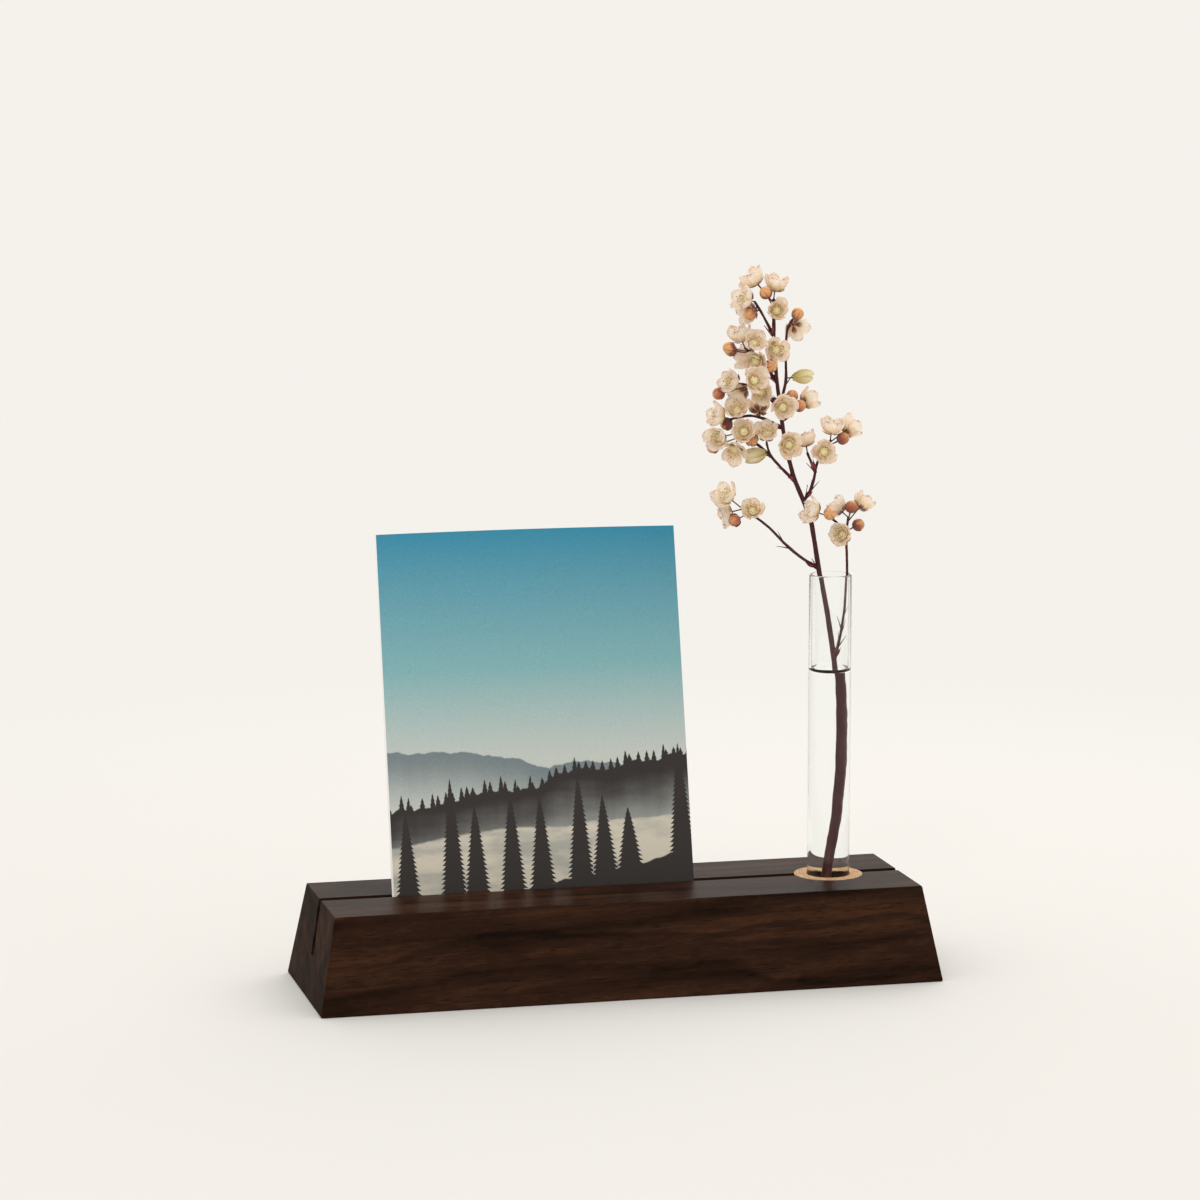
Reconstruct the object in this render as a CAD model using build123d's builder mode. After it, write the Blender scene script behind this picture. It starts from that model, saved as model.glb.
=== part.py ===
"""A wooden photo block holder: a walnut block with a slot for a print, and a glass tube with a flowering sprig.

Millimetres, +Z up. The origin is the middle of the block's underside, +X runs along the block to the tube, and
-Y is the front.
"""

import os
from math import cos, radians, sin
from typing import NamedTuple

from build123d import *

# Walnut block
BLOCK_LENGTH = 233.0
BLOCK_WIDTH = 72.4
BLOCK_HEIGHT = 35.0
SIDE_LEAN = 10.5  # degrees, of all four sides
ARRIS = 0.5  # radius of the eased edges

# Slot along the block
SLOT_WIDTH = 4.3
SLOT_DEPTH = 20.0
SLOT_LEAN = 9.0  # degrees, back from upright
SLOT_SETBACK = 0.8  # of its middle at the top, behind the middle of the block

# Glass tube and the oak bush round it
TUBE_FROM_END = 33.8  # tube axis to the right end of the block's underside
TUBE_DIAMETER = 16.0
TUBE_WALL = 1.0
TUBE_LENGTH = 140.0
RIM_ROUNDING = 0.35  # radius of the melted rim's edges, as a share of the wall
TUBE_CLEARANCE = 0.2  # all round, in the bush and the hole, and under the foot
HOLE_FLOOR = 8.0  # wood left under the hole
BUSH_DIAMETER = 25.6
BUSH_DEPTH = 10.0
GLUE_LINE = 0.05  # round and under the bush

# Water
WATER_BELOW_RIM = 37.0
WATER_CLEARANCE = 0.05  # from the glass
STEM_CLEARANCE = 0.15  # between stem and water

# Print
PRINT_WIDTH = 114.3
PRINT_HEIGHT = 152.4
PRINT_THICKNESS = 0.4
PRINT_LEAN = 13.2  # degrees, back from upright
PRINT_BOW = 4.6  # how far the middle of its top edge stands forward
PRINT_TO_BUSH = 38.6
PRINT_CLEARANCE = 0.2  # from the slot's back edge and floor

# Sprig
STEM_DIAMETER = 2.2
STEM_TIP_DIAMETER = 1.0
TWIG_DIAMETER = 1.1
TWIG_TIP_DIAMETER = 0.8
STALK_DIAMETER = 0.6
STALK_LEAST = 0.5  # of the shortest stalk, clear of its twig
STALK_STEP = 1.8  # along a twig, from one stalk to the next
BLOSSOM_WIDTH = 8.8
BLOSSOM_DEPTH = 6.4
BLOSSOM_SPACING_GAP = 0.2  # blossom width plus this is the spacing that the sprig is laid out in
BELL_WIDTH = 5.6
BELL_DEPTH = 8.0
BUD_DIAMETER = 4.6
PETALS = 5
PETAL_THICKNESS = 0.6
CUP_BELLY = 0.86  # radius of a cup at its belly, as a share of its rim's
CUP_BELLY_HEIGHT = 0.4  # of that belly, as a share of the cup's depth
NOTCH_WIDTH = 1.6  # between two petals, at the rim
NOTCH_DEPTH = 2.6

# Places that follow from these sizes
tube_x = BLOCK_LENGTH / 2 - TUBE_FROM_END
tube_radius = TUBE_DIAMETER / 2
tube_bore = tube_radius - TUBE_WALL
tube_foot = HOLE_FLOOR + TUBE_CLEARANCE
tube_rim = tube_foot + TUBE_LENGTH
bowl_height = tube_foot + tube_radius  # middle of the tube's round foot
hole_radius = tube_radius + TUBE_CLEARANCE
bush_radius = BUSH_DIAMETER / 2
water_level = tube_rim - WATER_BELOW_RIM
spacing = BLOSSOM_WIDTH + BLOSSOM_SPACING_GAP
slot_up = Vector(0, sin(radians(SLOT_LEAN)), cos(radians(SLOT_LEAN)))
slot_mouth = Vector(0, SLOT_SETBACK, BLOCK_HEIGHT)
print_up = Vector(0, sin(radians(PRINT_LEAN)), cos(radians(PRINT_LEAN)))


class Twig(NamedTuple):
    """A side twig: what it forks from, at which height, its route, and where its flowers and buds are."""

    parent: str
    fork: float
    route: list
    blossoms: list = []
    bells: list = []
    buds: list = []


def in_tube(x, y, height):
    """A point in the tube: shares of the bore's radius across, and of the height from round foot to rim."""
    return Vector(tube_x + x * tube_bore, y * tube_bore, bowl_height + height * (tube_rim - bowl_height))


def over_rim(x, y, z):
    """A point of the sprig above the tube, in blossom spacings from the middle of the rim."""
    return Vector(tube_x + x * spacing, y * spacing, tube_rim + z * spacing)


def over_rims(*places):
    """Several points of the sprig above the tube."""
    return [over_rim(*place) for place in places]


STEM_ROUTE = [
    in_tube(-0.35, 0.07, -0.04),
    in_tube(0.08, 0.31, 0.165),
    in_tube(0.41, 0.46, 0.30),
    in_tube(0.55, 0.51, 0.45),
    in_tube(0.56, 0.54, 0.60),
    in_tube(0.52, 0.59, 0.71),
    in_tube(0.38, 0.64, 0.77),
    in_tube(0.04, 0.68, 0.88),
    in_tube(-0.41, 0.71, 1.0),
    over_rim(-0.67, 0.55, 2.1),
    over_rim(-1.02, 0.55, 3.0),
    over_rim(-1.42, 0.55, 3.9),
    over_rim(-1.72, 0.55, 4.95),
    over_rim(-1.94, 0.55, 6.1),
    over_rim(-2.2, 0.55, 8.0),
    over_rim(-2.33, 0.55, 9.6),
    over_rim(-2.35, 0.55, 11.35),
]
STEM_BLOSSOMS = over_rims(
    (-1.85, -0.25, 5.4), (-2.15, -0.35, 6.95), (-2.4, -0.2, 9.3), (-2.4, -0.2, 10.95), (-2.3, 0.45, 12.0),
    (-3.2, 0.8, 12.2),
)
STEM_BUDS = over_rims((-2.85, 0.05, 11.65))

TWIGS = {
    "twig_fork": Twig(
        "main_stem",
        in_tube(0, 0, 0.745).Z,
        [
            in_tube(0.72, 0.35, 0.82),
            in_tube(0.87, 0.08, 0.90),
            in_tube(0.88, -0.14, 1.0),
            *over_rims((0.64, -0.15, 1.0), (0.6, -0.1, 1.6), (0.75, 0.0, 2.35)),
        ],
        blossoms=over_rims((0.3, 0.3, 2.75), (1.5, 0.2, 2.95), (0.2, -0.75, 1.75)),
        buds=over_rims((0.75, -0.4, 2.85), (1.15, -0.2, 2.05)),
    ),
    "twig_fork_left": Twig(
        "twig_fork",
        over_rim(0, 0, 1.7).Z,
        over_rims((0.15, -0.25, 2.2), (-0.3, -0.35, 2.5)),
        blossoms=over_rims((-1.0, -0.35, 2.7)),
        buds=over_rims((-0.3, -0.8, 2.6)),
    ),
    "twig_lower_left": Twig(
        "main_stem",
        over_rim(0, 0, 0.15).Z,
        over_rims((-1.2, 0.45, 0.7), (-1.9, 0.4, 1.3), (-2.45, 0.4, 1.9), (-3.0, 0.5, 2.35), (-3.7, 0.5, 2.75)),
        blossoms=over_rims((-3.45, -0.35, 2.85), (-4.4, 0.65, 2.55), (-4.55, -0.05, 3.45)),
        buds=over_rims((-4.25, -0.4, 2.4)),
    ),
    "twig_right": Twig(
        "main_stem",
        over_rim(0, 0, 3.0).Z,
        over_rims((-0.72, 0.5, 3.4), (-0.58, 0.45, 4.0), (-0.5, 0.45, 4.55), (-0.22, 0.45, 5.1), (0.1, 0.45, 5.5)),
        blossoms=over_rims((0.1, 0.3, 6.1), (1.0, 0.65, 6.0), (-0.4, -0.35, 5.1)),
        buds=over_rims((0.55, 0.1, 5.6)),
    ),
    "twig_right_spur": Twig(
        "twig_right",
        over_rim(0, 0, 4.2).Z,
        over_rims((-0.72, 0.5, 4.6), (-0.88, 0.55, 5.0)),
        blossoms=over_rims((-0.95, 0.65, 5.6)),
    ),
    "twig_left": Twig(
        "main_stem",
        over_rim(0, 0, 3.8).Z,
        over_rims((-2.0, 0.55, 4.4), (-2.5, 0.55, 4.95), (-2.65, 0.45, 5.5)),
        blossoms=over_rims((-2.8, -0.1, 6.0)),
        bells=over_rims((-3.05, 0.5, 4.95)),
    ),
    "twig_left_spur": Twig(
        "twig_left",
        over_rim(0, 0, 4.9).Z,
        over_rims((-2.85, 0.8, 5.3), (-3.4, 0.95, 5.7), (-3.9, 0.95, 5.8)),
        blossoms=over_rims((-3.85, -0.25, 6.05), (-4.85, 0.1, 5.75), (-4.15, 0.1, 5.1)),
        buds=over_rims((-3.3, 0.3, 5.6), (-4.9, 0.65, 5.3)),
    ),
    "twig_left_middle": Twig(
        "main_stem",
        over_rim(0, 0, 6.0).Z,
        over_rims((-2.6, 0.55, 6.4), (-3.3, 0.6, 6.6), (-4.2, 0.5, 6.45)),
        blossoms=over_rims((-2.75, 1.15, 6.9), (-4.05, 0.05, 7.0), (-4.8, 0.5, 6.65)),
        buds=over_rims((-4.25, 0.9, 6.2)),
    ),
    "twig_left_high": Twig(
        "main_stem",
        over_rim(0, 0, 6.9).Z,
        over_rims((-2.45, 0.55, 7.35), (-3.0, 0.55, 7.75), (-3.7, 0.45, 7.9)),
        blossoms=over_rims((-4.3, 0.2, 8.05), (-3.5, -0.9, 8.2), (-3.05, -0.2, 7.55), (-3.7, 1.05, 7.5)),
        buds=over_rims((-4.7, 0.55, 7.5)),
    ),
    "twig_left_upper": Twig(
        "main_stem",
        over_rim(0, 0, 7.9).Z,
        over_rims((-2.65, 0.55, 8.6), (-3.1, 0.5, 9.1), (-3.6, 0.45, 9.35)),
        blossoms=over_rims((-3.85, 0.4, 9.95), (-3.4, -0.45, 9.7), (-3.35, 1.25, 8.9), (-3.35, -0.1, 8.8)),
        buds=over_rims((-4.35, 0.25, 9.4), (-4.1, 0.9, 9.25), (-2.6, -0.05, 8.65)),
    ),
    "twig_top_left": Twig(
        "main_stem",
        over_rim(0, 0, 9.8).Z,
        over_rims((-2.8, 0.6, 10.7), (-3.15, 0.6, 11.25)),
        blossoms=over_rims((-3.7, 0.45, 11.4), (-3.3, 1.15, 10.75)),
        buds=over_rims((-3.5, 0.1, 10.75)),
    ),
    "twig_top_right": Twig(
        "main_stem",
        over_rim(0, 0, 6.95).Z,
        over_rims((-1.88, 0.55, 7.6), (-1.78, 0.6, 8.0), (-1.82, 0.6, 9.3), (-1.75, 0.6, 10.2), (-1.5, 0.6, 10.5)),
        blossoms=over_rims((-1.2, 0.95, 10.1)),
        bells=over_rims((-1.05, 0.65, 8.1)),
        buds=over_rims((-1.4, 0.25, 10.75)),
    ),
    "twig_right_high": Twig(
        "main_stem",
        over_rim(0, 0, 6.3).Z,
        over_rims((-1.68, 0.5, 6.7), (-1.48, 0.5, 6.9)),
        blossoms=over_rims((-0.77, 0.55, 7.2)),
        buds=over_rims((-1.35, 0.0, 7.0), (-1.6, 0.3, 7.4)),
    ),
}


def save(part, name):
    """Label a finished piece and write it."""
    part.label = name
    export_step(part, f"parts/{name}.step")


def at_height(route, height):
    """The point where a rising route passes a height."""
    for low, high in zip(route, route[1:]):
        if low.Z <= height <= high.Z:
            return low + (high - low) * ((height - low.Z) / (high.Z - low.Z))
    raise ValueError(f"the route doesn't pass the height {height}")


def run_to(route, place):
    """How far along a route its nearest point to a place is."""
    feet = []
    run = 0
    for start, end in zip(route, route[1:]):
        leg = end - start
        along = min(max((place - start).dot(leg.normalized()), 0), leg.length)
        feet.append(((start + leg.normalized() * along - place).length, run + along))
        run += leg.length
    return min(feet)[1]


def after_run(route, run):
    """The point of a route that is so far along it."""
    for start, end in zip(route, route[1:]):
        leg = end - start
        if run <= leg.length:
            return start + leg.normalized() * run
        run -= leg.length
    return route[-1]


def stalk_roots(route, places):
    """Where each stalk leaves a route: at its nearest point, or a step behind the stalk nearer to the tip."""
    runs = [run_to(route, place) for place in places]
    roots = {}
    last = max(runs, default=0)
    for index in sorted(range(len(places)), key=lambda index: -runs[index]):
        last = min(last, runs[index])
        roots[index] = after_run(route, max(last, 0))
        last -= STALK_STEP
    return [roots[index] for index in range(len(places))]


def tapered_rod(route, first_diameter, last_diameter):
    """A round woody rod along a route, thinner towards its tip."""
    legs = [(end - start).length for start, end in zip(route, route[1:])]
    with BuildPart() as rod:
        for index, place in enumerate(route):
            before = route[max(index - 1, 0)]
            after = route[min(index + 1, len(route) - 1)]
            share = sum(legs[:index]) / sum(legs)
            with BuildSketch(Plane(place, x_dir=(0, 1, 0), z_dir=after - before)):
                Circle((first_diameter + (last_diameter - first_diameter) * share) / 2)
        loft(ruled=True)
    return rod.part


def round_footed(radius, top):
    """A round rod on the tube's axis, with a round foot about the middle of the tube's foot."""
    with BuildPart() as rod:
        with Locations((tube_x, 0, bowl_height)):
            Sphere(radius)
            Cylinder(radius, top - bowl_height, align=(Align.CENTER, Align.CENTER, Align.MIN))
    return rod.part


def cup(width, depth):
    """A cup of petals that opens upwards from its stalk, which ends at the origin."""
    rim = width / 2
    belly = rim * CUP_BELLY
    belly_height = depth * CUP_BELLY_HEIGHT
    foot = STALK_DIAMETER / 2
    with BuildPart() as flower:
        with BuildSketch(Plane.XZ):
            with BuildLine():
                Polyline((foot, 0), (0, 0), (0, PETAL_THICKNESS))
                ThreePointArc(
                    (0, PETAL_THICKNESS), (belly - PETAL_THICKNESS, belly_height), (rim - PETAL_THICKNESS, depth)
                )
                Line((rim - PETAL_THICKNESS, depth), (rim, depth))
                ThreePointArc((rim, depth), (belly, belly_height), (foot, 0))
            make_face()
        revolve(axis=Axis.Z)
        for petal in range(PETALS):
            outward = Vector(1, 0, 0).rotate(Axis.Z, petal * 360 / PETALS)
            with BuildSketch(Plane((0, 0, depth), x_dir=(0, 0, 1), z_dir=outward)):
                Polygon((-NOTCH_DEPTH, 0), (0, -NOTCH_WIDTH / 2), (0, NOTCH_WIDTH / 2), align=None)
            extrude(amount=width, mode=Mode.SUBTRACT)
    return flower.part


def bud():
    """A closed round bud on top of its stalk, which ends at the origin."""
    with BuildPart() as ball:
        with Locations((0, 0, BUD_DIAMETER / 2 - STALK_DIAMETER / 2)):
            Sphere(BUD_DIAMETER / 2)
    return ball.part


def stalked(head, depth, roots, places, cutters):
    """Flower heads at their places, each on a straight stalk from its root."""
    with BuildPart() as heads:
        for root, place in zip(roots, places):
            reach = place - root
            stalk = max(reach.length - depth / 2, TWIG_DIAMETER / 2 + STALK_LEAST)
            with Locations(Plane(root + reach.normalized() * stalk, z_dir=reach)):
                add(head)
                Cylinder(STALK_DIAMETER / 2, stalk, align=(Align.CENTER, Align.CENTER, Align.MAX))
        for cutter in cutters:
            add(cutter, mode=Mode.SUBTRACT)
    return heads.part


def save_flowers(twig_name, rod, route, blossoms, bells, buds):
    """Make and write what one twig bears, each group cut to fit the twig and the groups before it."""
    made = [rod]
    roots = stalk_roots(route, [*blossoms, *bells, *buds])
    kinds = [
        ("blossoms", cup(BLOSSOM_WIDTH, BLOSSOM_DEPTH), BLOSSOM_DEPTH, blossoms),
        ("bells", cup(BELL_WIDTH, BELL_DEPTH), BELL_DEPTH, bells),
        ("buds", bud(), BUD_DIAMETER, buds),
    ]
    for kind, head, depth, places in kinds:
        if places:
            group = stalked(head, depth, roots[: len(places)], places, made)
            roots = roots[len(places) :]
            save(group, f"{kind}_{twig_name}")
            made.append(group)


os.makedirs("parts", exist_ok=True)

with BuildPart() as walnut_block:
    with BuildSketch():
        Rectangle(BLOCK_LENGTH, BLOCK_WIDTH)
    extrude(amount=BLOCK_HEIGHT, taper=SIDE_LEAN)
    fillet(walnut_block.edges(), ARRIS)
    with BuildSketch(Plane(slot_mouth - slot_up * SLOT_DEPTH, x_dir=(1, 0, 0), z_dir=slot_up)):
        Rectangle(BLOCK_LENGTH, SLOT_WIDTH)
    extrude(amount=SLOT_DEPTH + SLOT_WIDTH, mode=Mode.SUBTRACT)
    with Locations((tube_x, 0, BLOCK_HEIGHT)):
        CounterBoreHole(hole_radius, bush_radius + GLUE_LINE, BUSH_DEPTH + GLUE_LINE, BLOCK_HEIGHT - HOLE_FLOOR)
save(walnut_block.part, "walnut_block")

with BuildPart() as oak_bush:
    with BuildSketch(Plane((tube_x, 0, BLOCK_HEIGHT - BUSH_DEPTH))):
        Circle(bush_radius)
        Circle(hole_radius, mode=Mode.SUBTRACT)
    extrude(amount=BUSH_DEPTH)
save(oak_bush.part, "oak_bush")

with BuildPart() as glass_tube:
    add(round_footed(tube_radius, tube_rim))
    add(round_footed(tube_bore, tube_rim), mode=Mode.SUBTRACT)
    fillet(glass_tube.edges().group_by(Axis.Z)[-1], TUBE_WALL * RIM_ROUNDING)
save(glass_tube.part, "glass_tube")

with BuildPart() as water:
    add(round_footed(tube_bore - WATER_CLEARANCE, water_level))
    add(
        tapered_rod(STEM_ROUTE, STEM_DIAMETER + 2 * STEM_CLEARANCE, STEM_TIP_DIAMETER + 2 * STEM_CLEARANCE),
        mode=Mode.SUBTRACT,
    )
save(water.part, "water")

# The print's back rests near the slot's back edge, and its foot near the slot's floor
print_back = Vector(0, cos(radians(PRINT_LEAN)), -sin(radians(PRINT_LEAN)))
slot_back_edge = slot_mouth + Vector(0, SLOT_WIDTH / 2 / cos(radians(SLOT_LEAN)), 0)
print_middle = slot_back_edge - print_back * (PRINT_CLEARANCE + PRINT_THICKNESS / 2)
floor_drop = (print_middle - slot_mouth).dot(slot_up) + SLOT_DEPTH - PRINT_CLEARANCE
print_x = tube_x - bush_radius - PRINT_TO_BUSH - PRINT_WIDTH / 2
print_foot = print_middle - print_up * (floor_drop / print_up.dot(slot_up)) + Vector(print_x, 0, 0)
# A shallow arc is longer than its chord by 8/3 of the square of its bow over its chord
top_chord = PRINT_WIDTH * (1 - 8 / 3 * (PRINT_BOW / PRINT_WIDTH) ** 2)

with BuildPart() as photo_print:
    with BuildSketch(Plane(print_foot, x_dir=(1, 0, 0), z_dir=print_up)):
        Rectangle(PRINT_WIDTH, PRINT_THICKNESS)
    with BuildSketch(Plane(print_foot + print_up * PRINT_HEIGHT, x_dir=(1, 0, 0), z_dir=print_up)):
        with BuildLine():
            front = ThreePointArc(
                (-top_chord / 2, -PRINT_THICKNESS / 2),
                (0, -PRINT_THICKNESS / 2 - PRINT_BOW),
                (top_chord / 2, -PRINT_THICKNESS / 2),
            )
            back = ThreePointArc(
                (-top_chord / 2, PRINT_THICKNESS / 2),
                (0, PRINT_THICKNESS / 2 - PRINT_BOW),
                (top_chord / 2, PRINT_THICKNESS / 2),
            )
            Line(front @ 0, back @ 0)
            Line(front @ 1, back @ 1)
        make_face()
    loft(ruled=True)
save(photo_print.part, "photo_print")

rods = {"main_stem": tapered_rod(STEM_ROUTE, STEM_DIAMETER, STEM_TIP_DIAMETER)}
routes = {"main_stem": STEM_ROUTE}
save(rods["main_stem"], "main_stem")
save_flowers("main_stem", rods["main_stem"], STEM_ROUTE, STEM_BLOSSOMS, [], STEM_BUDS)

for name, twig in TWIGS.items():
    route = [at_height(routes[twig.parent], twig.fork), *twig.route]
    with BuildPart() as rod:
        add(tapered_rod(route, TWIG_DIAMETER, TWIG_TIP_DIAMETER))
        add(rods[twig.parent], mode=Mode.SUBTRACT)
    rods[name] = rod.part
    routes[name] = route
    save(rod.part, name)
    save_flowers(name, rod.part, route, twig.blossoms, twig.bells, twig.buds)
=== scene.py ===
"""Dresses a wooden photo block holder: walnut, oak, glass, water, a print and a flowering sprig."""

import math
import random

import bmesh
import bpy
from bpy.props import FloatProperty, FloatVectorProperty, IntProperty, PointerProperty
from mathutils import Euler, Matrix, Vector, noise
from mathutils.bvhtree import BVHTree


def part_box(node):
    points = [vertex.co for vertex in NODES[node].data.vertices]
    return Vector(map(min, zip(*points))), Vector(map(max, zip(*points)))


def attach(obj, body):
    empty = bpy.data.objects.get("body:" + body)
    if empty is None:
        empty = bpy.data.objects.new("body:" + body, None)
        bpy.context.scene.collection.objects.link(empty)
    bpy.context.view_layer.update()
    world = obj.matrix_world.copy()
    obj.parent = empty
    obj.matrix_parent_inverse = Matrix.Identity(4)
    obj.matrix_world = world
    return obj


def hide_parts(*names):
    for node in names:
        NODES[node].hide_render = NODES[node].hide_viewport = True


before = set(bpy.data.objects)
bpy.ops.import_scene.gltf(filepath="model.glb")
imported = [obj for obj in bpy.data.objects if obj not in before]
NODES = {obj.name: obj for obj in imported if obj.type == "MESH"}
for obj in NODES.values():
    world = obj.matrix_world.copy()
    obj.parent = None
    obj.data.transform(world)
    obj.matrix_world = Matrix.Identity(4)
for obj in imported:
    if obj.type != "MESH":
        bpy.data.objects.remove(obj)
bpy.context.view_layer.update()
MM = 0.001

# Steps round a turned shape, along an arc of its profile, and along the small arcs of the tube's rim.
LATHE_STEPS = 96
ARC_STEPS = 24
RIM_STEPS = 6

# Distances under which points are merged: in copies of the solids and small parts, and in turned shapes.
MERGING = 0.001 * MM
FINE_MERGING = 0.0001 * MM

# The folded petals of a bud: their number, and how far their seams wind from stalk to tip.
BUD_SEAMS = 5
BUD_TWIST = 1.4

bl_info = {
    "name": "Wooden photo block holder",
    "version": (1, 0, 0),
    "blender": (4, 5, 0),
    "location": "View3D > Sidebar > Photo Block",
    "description": "Walnut photo block with a glass tube of water, a print and a flowering sprig",
    "category": "Object",
}


def colour(name, description, default):
    """A colour that a user may change, given without its alpha."""
    kind = {"size": 4, "subtype": "COLOR", "min": 0.0, "max": 1.0}
    return FloatVectorProperty(name=name, description=description, default=(*default, 1.0), **kind)


def setting(kind, **usual):
    """A function that makes settings of one kind from a name, a description and a default."""

    def make(name, description, default, **more):
        return kind(**{**usual, **more}, name=name, description=description, default=default)

    return make


length = setting(FloatProperty, min=0.0, unit="LENGTH", precision=5)
share = setting(FloatProperty, min=0.0, max=1.0, subtype="FACTOR")
amount = setting(FloatProperty, min=0.0)
angle = setting(FloatProperty, unit="ROTATION")
whole = setting(IntProperty, min=0)
position = setting(FloatVectorProperty, subtype="TRANSLATION")


class WoodSettings(bpy.types.PropertyGroup):
    """The block's walnut and the bush's oak."""

    walnut_dark: colour("Walnut dark", "Darkest streaks of the walnut", (0.0078, 0.0037, 0.0024))
    walnut_mid: colour("Walnut middle", "Most of the walnut", (0.0262, 0.0114, 0.0066))
    walnut_light: colour("Walnut light", "Reddish light streaks of the walnut", (0.066, 0.0262, 0.0131))
    walnut_ring: length("Walnut ring", "Width of one growth ring of the walnut", 0.0085)
    walnut_roughness: share("Walnut roughness", "Roughness of the oiled walnut", 0.38)
    walnut_sheen: share("Walnut sheen", "How strongly the oiled walnut reflects", 0.035)
    walnut_sheen_tint: colour("Walnut sheen tint", "Warm tint of that reflection", (1.0, 0.78, 0.6))
    oak_light: colour("Oak light", "Light wood of the oak bush", (0.66, 0.4, 0.17))
    oak_dark: colour("Oak dark", "Pores and late wood of the oak bush", (0.24, 0.095, 0.035))
    oak_fleck: colour("Oak fleck", "Pale rays of the oak bush", (0.82, 0.6, 0.36))
    # Painted shade: the bore of the bush is coloured dark below its lip to stand for the shade down in it;
    # the lip is how deep the bore stays pale.
    oak_bore: colour("Oak bore", "The oiled bore of the bush below its lip", (0.026, 0.011, 0.005))
    oak_lip: length("Oak lip", "How deep the bore stays pale", 0.00025)
    oak_ring: length("Oak ring", "Width of one growth ring of the oak", 0.0022)


class TubeSettings(bpy.types.PropertyGroup):
    """The glass tube and the water in it."""

    wall: length("Wall", "Thickness of the glass", 0.001)
    rim_rounding: length("Rim rounding", "Radius of the melted edges of the rim", 0.00035)
    glass_tint: colour("Glass tint", "Colour of the glass", (0.985, 0.995, 0.985))
    glass_bending: amount("Glass bending", "Refractive index of the glass", 1.47)
    glass_shine: share("Glass shine", "How strongly the glass reflects straight on", 0.5)
    outline_fading: share("Outline fading", "How far the outline of the glass fades", 0.92)
    water_tint: colour("Water tint", "Colour of the water", (0.985, 0.995, 0.995))
    water_bending: amount("Water bending", "Refractive index of the water", 1.33)
    meniscus_rise: length("Meniscus rise", "How far the water climbs up the glass", 0.002)
    meniscus_reach: length("Meniscus reach", "How quickly that climb dies away from the glass", 0.0013)


class PrintSettings(bpy.types.PropertyGroup):
    """The picture on the print: a sky over ridges and conifers."""

    sky_top: colour("Sky top", "Sky at the upper edge", (0.026, 0.232, 0.362))
    sky_middle: colour("Sky middle", "Sky half way up", (0.205, 0.41, 0.43))
    sky_low: colour("Sky low", "Haze over the ridges", (0.52, 0.55, 0.51))
    ridge_far: colour("Far ridge", "The hazy ridge", (0.17, 0.21, 0.22))
    ridge_near: colour("Near ridge", "The dark ridge and its trees", (0.029, 0.023, 0.021))
    meadow: colour("Meadow", "Pale ground between the ridges", (0.62, 0.565, 0.46))
    paper: colour("Paper", "The print's white edge and back", (0.84, 0.83, 0.8))
    margin: length("Margin", "Width of the white edge on the left", 0.0007)
    lean: angle("Lean", "How far the print leans back", math.radians(13.2))


class SprigSettings(bpy.types.PropertyGroup):
    """The sprig's stems, blossoms, bells and buds."""

    bark: colour("Bark", "Bark of the stems", (0.057, 0.0115, 0.0115))
    bark_light: colour("Bark light", "Worn patches of the bark", (0.11, 0.04, 0.032))
    bract: colour("Bract", "Small scales at the forks", (0.26, 0.022, 0.035))
    twig_step: length("Twig step", "Space between the rings of a twig", 0.0008)
    twig_sides: whole("Twig sides", "Sides of a twig's rings", 16, min=6)
    petal_base: colour("Petal base", "Petals near the heart", (0.985, 0.895, 0.63))
    petal: colour("Petal", "Most of a petal", (0.99, 0.908, 0.775))
    petal_tip: colour("Petal tip", "Thin tips of the petals", (0.99, 0.955, 0.895))
    blush: colour("Blush", "Pink edges and patches of the petals", (0.97, 0.65, 0.52))
    heart: colour("Heart", "Middle of a blossom", (0.85, 0.76, 0.38))
    anther: colour("Anther", "Dark dots on the stamens", (0.06, 0.03, 0.015))
    bell: colour("Bell", "Half-open blossoms", (0.92, 0.84, 0.56))
    bell_base: colour("Bell base", "Half-open blossoms near the stalk", (0.74, 0.66, 0.3))
    bell_tip: colour("Bell tip", "Tips of half-open blossoms", (0.96, 0.9, 0.74))
    bud: colour("Bud", "Tip of a bud", (0.73, 0.37, 0.145))
    bud_base: colour("Bud base", "Buds near the stalk", (0.34, 0.082, 0.036))
    cup: colour("Cup", "Small leaves that hold a blossom or bud", (0.2, 0.062, 0.045))
    blossom_depth: length("Blossom depth", "From stalk to rim of a blossom", 0.0064)
    bell_depth: length("Bell depth", "From stalk to tip of a bell", 0.008)
    bud_depth: length("Bud depth", "From stalk to tip of a bud", 0.0046)
    petals: whole("Petals", "Petals of a blossom", 5, min=3)
    stamens: whole("Stamens", "Stamens of a blossom", 13)
    seed: whole("Seed", "Turns the flowers another way", 7)


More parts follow.
